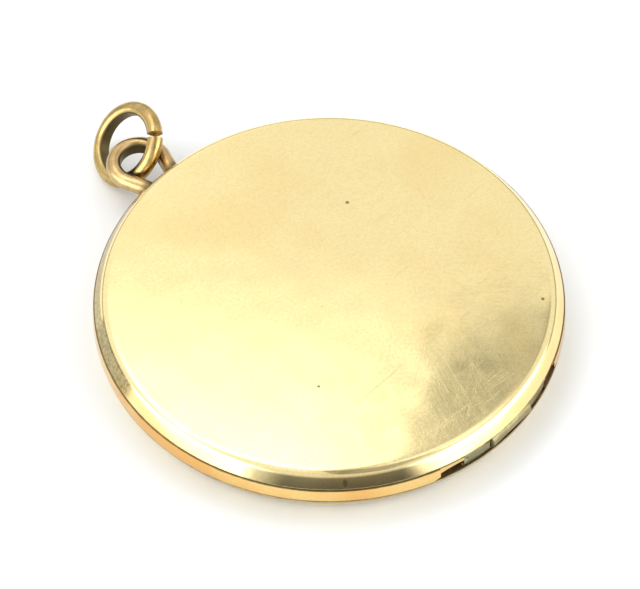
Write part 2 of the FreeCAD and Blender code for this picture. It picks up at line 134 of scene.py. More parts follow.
def fillet(points, radii, steps=5):
    """Round the corners of a closed 2-D outline; radii is keyed by corner number."""
    out = []
    count = len(points)
    for i, point in enumerate(points):
        radius = radii.get(i, 0.0)
        here = Vector(point)
        if radius <= 0.0:
            out.append(tuple(here))
            continue
        before = (Vector(points[i - 1]) - here)
        after = (Vector(points[(i + 1) % count]) - here)
        half = before.angle(after) / 2.0
        reach = min(radius / math.tan(half), before.length * 0.48, after.length * 0.48)
        true_radius = reach * math.tan(half)
        start = here + before.normalized() * reach
        end = here + after.normalized() * reach
        bisector = (before.normalized() + after.normalized()).normalized()
        centre = here + bisector * (true_radius / math.sin(half))
        a = start - centre
        b = end - centre
        turn = a.angle_signed(b)
        for k in range(steps + 1):
            angle = -turn * k / steps
            c, s = math.cos(angle), math.sin(angle)
            out.append((centre.x + a.x * c - a.y * s, centre.y + a.x * s + a.y * c))
    return out


def lathe(outline, segments=480, start=0.0, turn=360.0):
    """Turn a closed outline of (radius, height) about Z; points on the axis become one vertex."""
    bm = bmesh.new()
    full = abs(turn - 360.0) < 1e-6
    columns = segments if full else segments + 1
    poles = {}
    rings = []
    for k in range(columns):
        angle = math.radians(start + turn * k / segments)
        c, s = math.cos(angle), math.sin(angle)
        ring = []
        for i, (r, z) in enumerate(outline):
            if r >= 1e-6:
                ring.append(bm.verts.new((r * c, r * s, z)))
                continue
            if i not in poles:
                poles[i] = bm.verts.new((0.0, 0.0, z))
            ring.append(poles[i])
        rings.append(ring)
    for k in range(segments):
        a = rings[k]
        b = rings[(k + 1) % columns]
        for i in range(len(outline)):
            j = (i + 1) % len(outline)
            quad = [a[i], b[i], b[j], a[j]]
            corners = []
            for vert in quad:
                if vert not in corners:
                    corners.append(vert)
            if len(corners) > 2:
                bm.faces.new(corners)
    if not full:
        bm.faces.new(rings[0])
        bm.faces.new(rings[-1])
    return bm


def tube(start, end, radius, sides=96, bevel=0.0):
    """Closed cylinder between two points."""
    along = end - start
    axis = along.normalized()
    side = axis.orthogonal().normalized()
    up = axis.cross(side)
    rings = [(0.0, radius)]
    if bevel > 0.0:
        rings = [(0.0, radius - bevel), (bevel * 0.3, radius - bevel * 0.3), (bevel, radius)]
    rings = rings + [(along.length - d, r) for d, r in reversed(rings)]
    bm = bmesh.new()
    loops = []
    for distance, r in rings:
        loop = []
        for k in range(sides):
            angle = 2.0 * math.pi * k / sides
            offset = side * math.cos(angle) * r + up * math.sin(angle) * r
            loop.append(bm.verts.new(start + axis * distance + offset))
        loops.append(loop)
    for a, b in zip(loops, loops[1:]):
        for k in range(sides):
            bm.faces.new((a[k], a[(k + 1) % sides], b[(k + 1) % sides], b[k]))
    bm.faces.new(loops[0])
    bm.faces.new(loops[-1])
    return bm


def brick(low, high):
    """Box between two corners."""
    bm = bmesh.new()
    bmesh.ops.create_cube(bm, size=1.0)
    for vert in bm.verts:
        for i in range(3):
            vert.co[i] = low[i] if vert.co[i] < 0 else high[i]
    return bm


def prism(outline, low, high):
    """Upright prism over a flat outline."""
    bm = bmesh.new()
    bottom = [bm.verts.new((x, y, low)) for x, y in outline]
    top = [bm.verts.new((x, y, high)) for x, y in outline]
    bm.faces.new(bottom)
    bm.faces.new(top)
    for k in range(len(outline)):
        j = (k + 1) % len(outline)
        bm.faces.new((bottom[k], bottom[j], top[j], top[k]))
    return bm


def boolean(obj, cutters, operation="DIFFERENCE"):
    """Apply booleans with short-lived cutter objects."""
    for tool in cutters:
        modifier = obj.modifiers.new("cut", "BOOLEAN")
        modifier.operation = operation
        modifier.solver = "EXACT"
        modifier.object = tool
    bake(obj)
    for tool in cutters:
        bpy.data.objects.remove(tool)


def bake(obj, sharp=32.0):
    """Replace an object's mesh by its evaluated mesh."""
    graph = bpy.context.evaluated_depsgraph_get()
    mesh = bpy.data.meshes.new_from_object(obj.evaluated_get(graph))
    obj.modifiers.clear()
    old = obj.data
    obj.data = mesh
    bpy.data.meshes.remove(old)
    mesh.name = obj.name
    mesh.shade_smooth()
    mesh.set_sharp_from_angle(angle=math.radians(sharp))


def sweep(path, section, normals):
    """Sweep a closed section along a path; normals gives (outward, across) at each point."""
    bm = bmesh.new()
    loops = []
    for point, (outward, across) in zip(path, normals):
        loops.append([bm.verts.new(point + outward * u + across * v) for u, v in section])
    count = len(section)
    for a, b in zip(loops, loops[1:]):
        for k in range(count):
            bm.faces.new((a[k], a[(k + 1) % count], b[(k + 1) % count], b[k]))
    bm.faces.new(loops[0])
    bm.faces.new(loops[-1])
    return bm


# ---------------------------------------------------------------- outlines

def rim_outline(side):
    """Leaning band with softened edges."""
    inner = RIM_INNER[side]
    top = SEAM[side]
    corners = [(inner, GAP), (EDGE, GAP), (EDGE - LEAN[side], top), (inner, top)]
    rounded = fillet(corners, {0: 0.03, 1: 0.07, 2: 0.07})
    return [(r, PART_Z + side * z) for r, z in rounded]


def shoulder_line(side):
    """Outer face of a cover from its foot to where the dome or the bottom starts."""
    foot = EDGE - FOOT[side]
    top = SEAM[side]
    inset, height = CREASE[side]
    run, rise = CREASE_RUN[side]
    crease = (EDGE - inset, height)
    beyond = (crease[0] - run, crease[1] + rise)
    slope = [(foot - SHEET, top), (foot, top), crease, beyond]
    return fillet(slope, {1: 0.06, 2: CREASE_RADIUS[side]}, 14)[:-1]


def dome_height(r, flat, radius):
    """Height over the parting plane of a dome that is flat out to one radius."""
    return HALF - radius + math.sqrt(radius ** 2 - max(0.0, r - flat) ** 2)


def cover_outline(side, flat):
    """Foot, shoulder and shallow dome or flat bottom, with the sheet's inner face."""
    outer = shoulder_line(side)
    last = outer[-1]
    rise = HALF - last[1]
    reach = last[0] - flat
    radius = (reach ** 2 + rise ** 2) / (2.0 * rise)
    outer_rings = 60
    inner_rings = 24
    for k in range(1, outer_rings + 1):
        r = last[0] * (1.0 - k / outer_rings)
        outer.append((r, dome_height(r, flat, radius)))
    wall = EDGE - FOOT[side] - SHEET - INNER_WALL[side]
    radii = [wall * k / inner_rings for k in range(inner_rings + 1)]
    inner = [(r, dome_height(r, flat, radius) - SHEET) for r in radii]
    return [(r, PART_Z + side * z) for r, z in outer + inner]


# ---------------------------------------------------------------- hinge cutters

def hinge_point(x):
    """Point on the hinge axis, x from the middle of the hinge."""
    return Vector((HINGE_X + x, hinge_at.y, hinge_at.z))


def band(inner, outer, low, high, segments=720):
    """Short-lived ring or disc between two heights, used for cutting."""
    return new_object("band", lathe([(inner, low), (outer, low), (outer, high), (inner, high)], segments))


def block(name, half_length, near_y, low, high):
    """Short-lived box about the middle of the hinge, used for cutting."""
    near = (HINGE_X + half_length, near_y, high)
    return new_object(name, brick((HINGE_X - half_length, OUTSIDE_Y, low), near))


def front_cutters():
    """Everything taken out of the front half at the hinge."""
    reach = CENTER_HALF + JOINT_GAP
    channel = new_object("channel", tube(hinge_point(-reach), hinge_point(reach), TUBE + JOINT_GAP))
    seats = new_object("seats", tube(hinge_point(-SIDE_END), hinge_point(SIDE_END), TUBE))
    return [channel, seats]


def filed_edge():
    """The sliver of the front rim beside the hinge that is filed away."""
    outline = [(-5.75, -14.0), (-6.3, OUTSIDE_Y), (6.3, OUTSIDE_Y), (5.75, -14.0)]
    sliver = new_object("sliver", prism(outline, PART_Z - 1.0, PART_Z + SEAM[1.0]))
    boolean(sliver, [band(0.0, FILED, PART_Z - 2.0, PART_Z + 2.0)])
    return sliver


def arch(side):
    """Scoop beside the hinge, cut by a cylinder that points at the locket."""
    low = Vector((HINGE_X + side * (SIDE_END + 0.4), OUTSIDE_Y, PART_Z - ARCH_DROP))
    return new_object("arch", tube(low, low + Vector((0.0, 2.6, 0.0)), ARCH_RADIUS, 200))


def rim_cutters():
    """Cuts that touch only the front rim."""
    foot = block("foot_room", CENTER_HALF + JOINT_GAP, -14.85, PART_Z - 0.2, PART_Z + 0.35)
    relief = block("relief", SIDE_END, hinge_at.y, PART_Z - 0.1, hinge_at.z)
    return [foot, relief, filed_edge(), arch(-1.0), arch(1.0)]


# ---------------------------------------------------------------- pieces

def make_front_rim():
    """Rim with the hinge seats and scoops cut out of it."""
    obj = new_object("front_band", lathe(rim_outline(1.0)))
    boolean(obj, front_cutters() + rim_cutters())
    return obj


def make_front_cover():
    """Domed cover."""
    obj = new_object("front_shell", lathe(cover_outline(1.0, 0.0)))
    boolean(obj, front_cutters())
    return obj


def make_back_rim():
    """Rim with a shallow step that clears the hinge tubes."""
    obj = new_object("back_band", lathe(rim_outline(-1.0)))
    low = PART_Z - GAP - 0.3
    step = band(EDGE - 0.5, EDGE - 0.12, low, low + 0.6)
    zone = new_object("zone", brick((HINGE_X - SIDE_END - 0.05, OUTSIDE_Y, low - 0.1),
                                    (HINGE_X + SIDE_END + 0.05, -13.0, low + 0.5)))
    boolean(step, [zone], "INTERSECT")
    boolean(obj, [step])
    return obj


def make_back_cover():
    """Cover with a flat resting circle."""
    return new_object("back_shell", lathe(cover_outline(-1.0, BACK_FLAT)))


def make_lip():
    """Thin ring with a softened leading edge, open at the hinge."""
    outer = RIM_INNER[-1.0]
    inner = outer - 0.25
    corners = [(inner, -0.55), (outer, -0.55), (outer, 0.5), (inner, 0.5)]
    outline = [(r, PART_Z + z) for r, z in fillet(corners, {2: 0.09, 3: 0.05}, 4)]
    open_half = math.degrees(math.acos(10.0 / outer))
    return new_object("snap_lip", lathe(outline, 400, -90.0 + open_half, 360.0 - 2.0 * open_half))


def make_frame(name, side):
    """Retaining ring with a sloping inner edge."""
    outer = FRAME_OUTER[side]
    corners = [(12.65, 0.7), (outer, 0.7), (outer, 1.3), (12.3, 1.3), (12.3, 1.15)]
    outline = [(r, PART_Z + side * z) for r, z in fillet(corners, {0: 0.08, 1: 0.08, 4: 0.05}, 4)]
    return new_object(name, lathe(outline, 360))


def make_disc(name, side, low, high):
    """Round flat insert between two distances from the parting plane."""
    rings = 40
    radii = [INSERT_RADIUS * k / rings for k in range(rings + 1)]
    outline = [(r, low) for r in radii] + [(r, high) for r in reversed(radii)]
    return new_object(name, lathe([(r, PART_Z + side * z) for r, z in outline], 180))


def bore(radius):
    """Short-lived rod that drills a hinge tube."""
    return new_object("bore", tube(hinge_point(-5.0), hinge_point(5.0), radius, 48))


def filed_disc():
    """Large disc that the filed pieces are kept inside of."""
    return band(0.0, FILED, 0.0, 6.0, 1440)


def make_center_knuckle():
    """Drawn tube on a small soldered foot."""
    middle = tube(hinge_point(-CENTER_HALF), hinge_point(CENTER_HALF), TUBE, 128, 0.04)
    obj = new_object("hinge_tube_center", middle)
    half_foot = CENTER_HALF - 0.02
    foot = new_object("foot", brick((HINGE_X - half_foot, hinge_at.y - 0.08, PART_Z - GAP),
                                    (HINGE_X + half_foot, hinge_at.y + 0.44, PART_Z + 0.2)))
    boolean(obj, [foot], "UNION")
    boolean(obj, [bore(0.20)])
    return obj


def make_side_knuckle(name, side):
    """Tube beside the middle one, filed flush with the rim."""
    start = hinge_point(side * (CENTER_HALF + JOINT_GAP))
    obj = new_object(name, tube(start, hinge_point(side * SIDE_END), TUBE, 128, 0.03))
    boolean(obj, [bore(0.18)])
    boolean(obj, [filed_disc()], "INTERSECT")
    return obj


def make_pin():
    """Wire through all three tubes."""
    obj = new_object("hinge_wire", tube(hinge_point(-3.9), hinge_point(3.9), 0.18, 48, 0.03))
    boolean(obj, [filed_disc()], "INTERSECT")
    return obj


def wire_section(radius, corner=0.12, steps=40):
    """Round wire with its inner side filed flat; u points outwards."""
    turn = math.pi - math.acos(FILED_WIRE)
    points = []
    for k in range(steps + 1):
        angle = -turn + 2.0 * turn * k / steps
        points.append((radius * math.cos(angle), radius * math.sin(angle)))
    return fillet(points, {0: corner, steps: corner}, 4)


def make_jump_ring():
    """Open ring of flattened wire with sawn ends."""
    azimuth = math.atan2(ring_axis.y, ring_axis.x)
    level_dir = Vector((-math.sin(azimuth), math.cos(azimuth), 0.0))
    uphill = ring_axis.cross(level_dir).normalized()
    path = []
    normals = []
    steps = 240
    for k in range(steps + 1):
        angle = math.radians(RING_START + RING_TURN * k / steps)
        outward = level_dir * math.cos(angle) + uphill * math.sin(angle)
        path.append(ring_centre + outward * RING_RADIUS)
        normals.append((outward, ring_axis))
    return new_object("ring_wire", sweep(path, wire_section(RING_WIRE), normals), 40.0)


def loop_normal(angle):
    """Outward direction of the loop's wire at an angle round its bend, degrees."""
    turn = math.radians(angle)
    return LOOP_OUT * math.cos(turn) + LOOP_ASIDE * math.sin(turn)


def loop_leg(side):
    """Points from the end of the bend towards the rim."""
    turn = math.radians(LOOP_BEND)
    start = LOOP_CENTRE + loop_normal(side * LOOP_BEND) * LOOP_RADIUS
    along = LOOP_ASIDE * side * math.cos(turn) - LOOP_OUT * math.sin(turn)
    legs = 24
    return [start + along * (LOOP_LEG * k / legs) for k in range(1, legs + 1)]


def loop_bend():
    """Points and outward directions round the bend."""
    steps = 120
    outward = [loop_normal(-LOOP_BEND + 2.0 * LOOP_BEND * k / steps) for k in range(steps + 1)]
    return [LOOP_CENTRE + normal * LOOP_RADIUS for normal in outward], outward


def solder_pad(offset, width):
    """Rounded mound of solder between a leg and the rim."""
    bm = bmesh.new()
    bmesh.ops.create_uvsphere(bm, u_segments=48, v_segments=32, radius=1.0)
    for vert in bm.verts:
        local = vert.co.copy()
        swell = min(1.12, max(math.hypot(local.y, local.z), 0.6) ** -0.5)
        vert.co = LOOP_OUT * (15.86 + local.x * 0.58) + LOOP_ASIDE * (offset + local.y * swell * width * 0.98)
        vert.co.z = PART_Z - 0.49 + local.z * 0.41
    return new_object("pad", bm)


def make_bail():
    """Horseshoe of flattened wire with two solder pads on the back rim."""
    left = list(reversed(loop_leg(-1.0)))
    right = loop_leg(1.0)
    bend, outward = loop_bend()
    sides = [loop_normal(-LOOP_BEND)] * len(left) + outward + [loop_normal(LOOP_BEND)] * len(right)
    normals = [(normal, UP) for normal in sides]
    obj = new_object("loop_wire", sweep(left + bend + right, wire_section(LOOP_WIRE), normals), 40.0)
    boolean(obj, [solder_pad(1.15, 0.95), solder_pad(-1.1, 0.62)], "UNION")
    parting = PART_Z - GAP
    inside = EDGE - LEAN[-1.0]
    outline = [(0.0, parting), (EDGE, parting - 0.02), (inside, PART_Z - SEAM[-1.0]), (inside, PART_Z - 2.0),
               (0.0, PART_Z - 2.0)]
    above = band(0.0, EDGE + 0.12, parting, PART_Z + 3.0)
    boolean(obj, [above, new_object("body", lathe(outline, 720))])
    return obj


# ---------------------------------------------------------------- materials

# Dark colour for smudges, specks and patina, and for painted shade and painted dark reflections.
DARK_SMUDGE_AND_SHADE = (0.11, 0.082, 0.036, 1.0)
PLAIN_GOLD = (0.985, 0.815, 0.415)


class Nodes:
    """Small helper for building node trees."""

    def __init__(self, tree):
        self.tree = tree
        self.tree.nodes.clear()

    def add(self, kind, inputs=None, **settings):
        """New node with its sockets and settings filled in."""
        node = self.tree.nodes.new(kind)
        for key, value in settings.items():
            setattr(node, key, value)
        for key, value in (inputs or {}).items():
            self.put(node.inputs[key], value)
        return node

    def put(self, socket, value):
        """Link or set one socket."""
        if isinstance(value, bpy.types.NodeSocket):
            self.tree.links.new(value, socket)
        else:
            socket.default_value = value

    def math(self, operation, a, b=0.0):
        """One sum, product or other simple operation."""
        node = self.add("ShaderNodeMath", operation=operation)
        self.put(node.inputs[0], a)
        self.put(node.inputs[1], b)
        return node.outputs[0]

    def vector(self, operation, a, b=(0.0, 0.0, 0.0), output=0):
        """One vector operation."""
        node = self.add("ShaderNodeVectorMath", operation=operation)
        self.put(node.inputs[0], a)
        self.put(node.inputs[1], b)
        return node.outputs[output]

    def smooth(self, value, low, high, to_low=0.0, to_high=1.0):
        """Soft step from to_low to to_high between two values."""
        node = self.add("ShaderNodeMapRange", interpolation_type="SMOOTHSTEP")
        for key, number in (("Value", value), ("From Min", low), ("From Max", high),
                            ("To Min", to_low), ("To Max", to_high)):
            self.put(node.inputs[key], number)
        return node.outputs[0]

    def mix(self, factor, a, b):
        """Blend of two colours."""
        node = self.add("ShaderNodeMix", data_type="RGBA")
        self.put(node.inputs[0], factor)
        self.put(node.inputs[6], a)
        self.put(node.inputs[7], b)
        return node.outputs[2]

    def noise(self, vector, scale, detail=2.0, roughness=0.5, distortion=0.0):
        """Fractal noise value."""
        node = self.add("ShaderNodeTexNoise",
                        {"Vector": vector, "Scale": scale, "Detail": detail,
                         "Roughness": roughness, "Distortion": distortion})
        return node.outputs[0]

    def mapped(self, vector, location=(0, 0, 0), rotation=(0, 0, 0), scale=(1, 1, 1)):
        """Moved, turned and stretched coordinates."""
        node = self.add("ShaderNodeMapping", {"Vector": vector, "Location": location,
                                              "Rotation": rotation, "Scale": scale})
        return node.outputs[0]


def start_material(name):
    """New material with its node helper and its object coordinates in millimetres."""
    material = bpy.data.materials.new(name)
    material.use_nodes = True
    n = Nodes(material.node_tree)
    coords = n.add("ShaderNodeTexCoord").outputs["Object"]
    return material, n, n.mapped(coords, scale=(1000.0, 1000.0, 1000.0))


def finish_surface(n, settings):
    """Shader and output of a surface material."""
    shader = n.add("ShaderNodeBsdfPrincipled", settings)
    output = n.add("ShaderNodeOutputMaterial")
    n.put(output.inputs["Surface"], shader.outputs[0])


def hairlines(n, vector, seed, count, along, across, width, keep):
    """Strongest of many thin, straight, sparse scratches lying in many directions."""
    rng = random.Random(seed)
    total = None
    for _ in range(count):
        angle = rng.uniform(0.0, math.pi)
        shift = (rng.uniform(-50, 50), rng.uniform(-50, 50), rng.uniform(-50, 50))
        turned = n.mapped(vector, rotation=(0, 0, angle))
        stretched = n.mapped(turned, location=shift, scale=(along, across, 1.0))
        field = n.noise(stretched, 1.0, 1.0, 0.4)
        ridge = n.math("ABSOLUTE", n.math("SUBTRACT", field, 0.5))
        line = n.smooth(ridge, 0.0, width, 1.0, 0.0)
        patch = n.noise(n.mapped(turned, location=shift, scale=(0.22, 0.5, 1.0)), 1.0, 2.0)
        line = n.math("MULTIPLY", line, n.smooth(patch, keep, keep + 0.12))
        total = line if total is None else n.math("MAXIMUM", total, line)
    return total


def flattened(n, place):
    """Coordinates dropped onto the table."""
    return n.mapped(place, scale=(1.0, 1.0, 0.0))


def shade(colour, factors):
    """Colour with each channel scaled."""
    return tuple(channel * factor for channel, factor in zip(colour, factors)) + (1.0,)


def marks(n, place, spots, soft):
    """Small round marks on a surface, given as (x, y, radius)."""
    total = 0.0
    for x, y, radius in spots:
        distance = n.vector("DISTANCE", flattened(n, place), (x, y, 0.0), "Value")
        spot = n.smooth(distance, radius * (1.0 - soft), radius, 1.0, 0.0)
        total = n.math("MAXIMUM", total, spot)
    return total


def painted_reflection_arc(n, place, radius, arc):
    """Grainy painted dark reflection on an arc of the edge, given as (middle, half angle, inner radius,
    strength).
    """
    middle, spread, inner, strength = arc
    turn = math.radians(middle)
    toward = n.vector("DOT_PRODUCT", flattened(n, place), (math.cos(turn), math.sin(turn), 0.0), "Value")
    facing = n.math("DIVIDE", toward, radius)
    zone = n.smooth(facing, math.cos(math.radians(spread)), math.cos(math.radians(spread * 0.75)))
    zone = n.math("MULTIPLY", zone, n.smooth(radius, inner, inner + 0.12))
    grainy = n.smooth(n.noise(place, 5.0, 4.0, 0.75), 0.30, 0.70, 0.55 * strength, strength)
    return n.math("MULTIPLY", zone, grainy)


def painted_eye_shade_and_dark_foot(n, place, radius, eye):
    """Painted shade on the inner face of a wire eye, given as (centre, axis, reach), and darker where its
    wire meets the rim.
    """
    centre, axis, reach = eye
    offset = n.vector("SUBTRACT", place, tuple(centre))
    across = n.vector("CROSS_PRODUCT", offset, tuple(axis))
    depth = n.vector("LENGTH", across, output="Value")
    # painted shade on the eye's inner face
    inner_face = n.smooth(depth, reach, reach + 0.16, 0.98, 0.0)
    foot = n.smooth(radius, EDGE + 0.25, EDGE + 0.95, 0.85, 0.0)
    return n.math("MAXIMUM", inner_face, foot)


def painted_seam_shade(n, place, height_at, radius, seam):
    """Ragged painted shade line along a seam on the outside, given as (height, depth)."""
    height, depth = seam
    away = n.math("ABSOLUTE", n.math("SUBTRACT", height_at, height))
    ragged = n.math("ADD", away, n.math("MULTIPLY", n.noise(place, 1.4, 4.0, 0.7), -depth * 0.9))
    line = n.smooth(ragged, -depth * 0.4, depth * 0.55, 0.92, 0.0)
    return n.math("MULTIPLY", line, n.smooth(radius, EDGE - 0.85, EDGE - 0.6, 0.15, 1.0))


def clean_tone(n, place, radius, lines, grain, colour, tarnish, scratch):
    """Colour of the metal before the dark layers of smudges and painted shade: tarnish, clouds, grain,
    scratches and the rubbed edge.
    """
    swirl = n.noise(place, 0.16, 2.0, 0.5)
    cloudy = n.noise(place, 0.55, 4.0, 0.6, 0.4)
    toned = n.mix(n.math("MULTIPLY", n.smooth(swirl, 0.48, 0.72), tarnish),
                  (*colour, 1.0), shade(colour, (0.96, 0.86, 0.74)))
    toned = n.mix(n.math("MULTIPLY", n.smooth(cloudy, 0.42, 0.7), 0.25), toned,
                  shade(colour, (0.93, 0.90, 0.86)))
    toned = n.mix(n.smooth(grain, 0.40, 0.62, 0.0, 0.30), toned, shade(colour, (0.80, 0.76, 0.66)))
    toned = n.mix(n.math("MULTIPLY", lines, min(1.0, 0.75 * scratch)), toned,
                  shade(colour, (0.72, 0.66, 0.56)))
    rubbed = n.math("MULTIPLY", n.smooth(swirl, 0.40, 0.60), n.smooth(radius, EDGE - 0.75, EDGE - 0.4))
    toned = n.mix(n.math("MULTIPLY", rubbed, tarnish), toned, shade(colour, (0.88, 0.66, 0.48)))
    return toned, cloudy


def gold(name, colour=PLAIN_GOLD, roughness=0.14, scratch=1.0, tarnish=0.25,
         wrapped=False, waviness=1.0, patina=0.0, shade_lines=(), spots=(), painted_reflection_arcs=(), eye=None, seed=1):
    """Polished yellow metal with hairline scratches, faint waves, tarnish, smudges and painted shade in the
    seams.
    """
    material, n, place = start_material(name)
    split = n.add("ShaderNodeSeparateXYZ", {"Vector": place})
    surface = place
    if wrapped:
        angle = n.math("ARCTAN2", split.outputs[1], split.outputs[0])
        around = {"X": n.math("MULTIPLY", angle, EDGE), "Y": split.outputs[2]}
        surface = n.add("ShaderNodeCombineXYZ", around).outputs[0]
    radius = n.vector("LENGTH", flattened(n, place), output="Value")
    fine = hairlines(n, surface, seed, 7, 0.10, 9.0, 0.012, 0.44)
    coarse = hairlines(n, surface, seed + 40, 4, 0.06, 3.0, 0.007, 0.53)
    lines = n.math("MAXIMUM", n.math("MULTIPLY", fine, 0.5), coarse)
    grain = n.noise(place, 4.5, 5.0, 0.75)
    toned, cloudy = clean_tone(n, place, radius, lines, grain, colour, tarnish, scratch)

    # Dark layers: random smudges, specks and patina, with painted shade in seams and eyes and painted dark
    # reflection on edges.
    smudge_and_shade_layers = [n.math("MULTIPLY", n.smooth(n.noise(place, 2.3, 5.0, 0.75), 0.68, 0.75), 0.6)]
    if spots:
        smudge_and_shade_layers.append(n.math("MULTIPLY", marks(n, place, spots, 0.6), 0.85))
    # painted dark reflection on arcs of the edge
    smudge_and_shade_layers += [painted_reflection_arc(n, place, radius, arc) for arc in painted_reflection_arcs]
    if eye:
        # painted shade on the eye's inner face, darker where the wire meets the rim
        smudge_and_shade_layers.append(painted_eye_shade_and_dark_foot(n, place, radius, eye))
    # painted shade lines along the seams
    smudge_and_shade_layers += [painted_seam_shade(n, place, split.outputs[2], radius, seam) for seam in shade_lines]
    if patina:
        aged = n.smooth(n.noise(place, 0.9, 5.0, 0.65, 0.6), 0.40, 0.62)
        smudge_and_shade_layers.append(n.math("MULTIPLY", aged, patina))
    dark = smudge_and_shade_layers[0]
    for layer in smudge_and_shade_layers[1:]:
        dark = n.math("MAXIMUM", dark, layer)

    rough = n.math("ADD", roughness, n.math("MULTIPLY", n.smooth(cloudy, 0.3, 0.7), roughness * 0.35))
    rough = n.math("ADD", rough, n.math("MULTIPLY", lines, 0.10 * scratch))
    rough = n.math("ADD", rough, n.math("MULTIPLY", dark, 0.2))
    height = n.math("MULTIPLY", lines, -0.0010 * scratch)
    height = n.math("ADD", height, n.math("MULTIPLY", n.noise(place, 0.22, 1.0), 0.045 * waviness))
    height = n.math("ADD", height, n.math("MULTIPLY", grain, 0.0003))
    height = n.math("SUBTRACT", height, n.math("MULTIPLY", dark, 0.003))
    bump = n.add("ShaderNodeBump", {"Strength": 1.0, "Distance": MM, "Height": height})
    finish_surface(n, {"Base Color": n.mix(dark, toned, DARK_SMUDGE_AND_SHADE), "Metallic": 1.0, "Roughness": rough,
                       "Normal": bump.outputs[0]})
    return material


def paper():
    """Blank aged insert with fibres and foxing."""
    material, n, place = start_material("insert_paper")
    radius = n.vector("LENGTH", flattened(n, place), output="Value")
    fibre = n.noise(place, 7.0, 6.0, 0.7)
    stain = n.noise(place, 0.28, 4.0, 0.6, 0.8)
    aged = n.mix(n.smooth(stain, 0.42, 0.68, 0.0, 0.55), (0.80, 0.73, 0.58, 1.0), (0.60, 0.47, 0.29, 1.0))
    edge = n.mix(n.smooth(radius, 9.5, 13.2, 0.0, 0.55), aged, (0.50, 0.37, 0.21, 1.0))
    fine = n.mix(n.smooth(fibre, 0.35, 0.75, 0.0, 0.3), edge, (0.88, 0.83, 0.72, 1.0))
    foxing = n.smooth(n.noise(place, 1.1, 5.0, 0.8), 0.66, 0.74, 0.0, 0.6)
    foxed = n.mix(foxing, fine, (0.42, 0.26, 0.12, 1.0))
    bump = n.add("ShaderNodeBump", {"Strength": 0.6, "Distance": MM * 0.02, "Height": fibre})
    finish_surface(n, {"Base Color": foxed, "Roughness": 0.82, "Normal": bump.outputs[0]})
    return material


def clear_sheet():
    """Thin, slightly yellowed clear sheet with light scratches."""
    material, n, place = start_material("clear_sheet")
    lines = hairlines(n, place, 77, 5, 0.08, 6.0, 0.008, 0.5)
    haze = n.noise(place, 0.4, 3.0, 0.6)
    rough = n.math("ADD", n.smooth(haze, 0.35, 0.7, 0.05, 0.14), n.math("MULTIPLY", lines, 0.2))
    tint = n.mix(haze, (0.97, 0.95, 0.88, 1.0), (0.93, 0.89, 0.78, 1.0))
    waves = n.math("MULTIPLY", n.noise(place, 0.15, 1.0), 0.05)
    bump = n.add("ShaderNodeBump", {"Strength": 1.0, "Distance": MM, "Height": waves})
    finish_surface(n, {"Base Color": tint, "Roughness": rough, "IOR": 1.5,
                       "Transmission Weight": 1.0, "Normal": bump.outputs[0]})
    return material


# ---------------------------------------------------------------- stage

def make_floor():
    """White table top."""
    bm = bmesh.new()
    bmesh.ops.create_grid(bm, x_segments=2, y_segments=2, size=2500.0)
    floor = new_object("table_top", bm)
    material, n, place = start_material("table_white")
    tone = n.noise(n.mapped(place, scale=(0.06, 0.06, 0.06)), 1.0, 3.0)
    colour = n.mix(tone, (0.85, 0.86, 0.87, 1.0), (0.87, 0.88, 0.89, 1.0))
    finish_surface(n, {"Base Color": colour, "Roughness": 0.6})
    floor.data.materials.append(material)


def direction(azimuth, elevation):
    """Unit vector in the stage's frame: azimuth from straight ahead towards the right."""
    a, e = math.radians(azimuth), math.radians(elevation)
    return Vector((math.sin(a) * math.cos(e), math.cos(a) * math.cos(e), math.sin(e)))


def along(n, ray, vector):
    """How far a ray points along a direction."""
    return n.vector("DOT_PRODUCT", ray, tuple(vector), "Value")


def side_panels(n, ray, level):
    """Round soft panels low on the right and on the left, added to the level."""
    inner, outer = math.cos(math.radians(26.0)), math.cos(math.radians(40.0))
    for azimuth, elevation, gain in ((108.0, 14.0, 2.1), (-122.0, 12.0, 2.3)):
        panel = n.smooth(along(n, ray, direction(azimuth, elevation)), outer, inner)
        level = n.math("ADD", level, n.math("MULTIPLY", panel, gain))
    return level


def surround(n, ray, x_part, y_part, z_part):
    """Pale surround, brighter overhead and ahead."""
    level = n.smooth(z_part, 0.02, 0.35, 0.32, 1.0)
    overhead = n.math("SUBTRACT", z_part, n.math("MULTIPLY", x_part, 0.12))
    aside = n.math("ABSOLUTE", x_part)
    ahead = n.smooth(n.math("ADD", y_part, n.math("MULTIPLY", aside, 0.6)), 0.05, 0.28)
    ceiling = n.math("MULTIPLY", n.smooth(overhead, 0.772, 0.895, 0.0, 1.5), ahead)
    level = n.math("ADD", level, ceiling)
    level = n.math("ADD", level, n.smooth(x_part, -0.12, 0.0, 0.12, 0.0))
    return side_panels(n, ray, level)


def dark_behind(n, x_part, y_part, z_part):
    """Shade of the unlit side of the room."""
    wedge = n.math("SUBTRACT", n.math("MULTIPLY", y_part, -0.72), n.math("ABSOLUTE", x_part))
    heights = n.math("MULTIPLY", n.smooth(z_part, 0.15, 0.62, 0.70, 0.16),
                     n.smooth(z_part, 0.90, 0.97, 1.0, 0.0))
    return n.math("MULTIPLY", n.smooth(wedge, -0.02, 0.14), heights)


def overhead_flag(n, x_part, z_part):
    """Straight-edged flag that shades part of the overhead panel."""
    slant = n.math("ADD", x_part, n.math("MULTIPLY", z_part, 0.366))
    right = n.smooth(slant, 0.341, 0.353)
    high = n.smooth(n.math("ADD", z_part, n.math("MULTIPLY", x_part, 0.26)), 0.810, 0.830)
    strength = n.smooth(x_part, 0.075, 0.115, 0.66, 0.50)
    flag = n.math("MULTIPLY", n.math("MULTIPLY", right, high), strength)
    return n.math("MULTIPLY", flag, n.smooth(x_part, 0.30, 0.45, 1.0, 0.0))


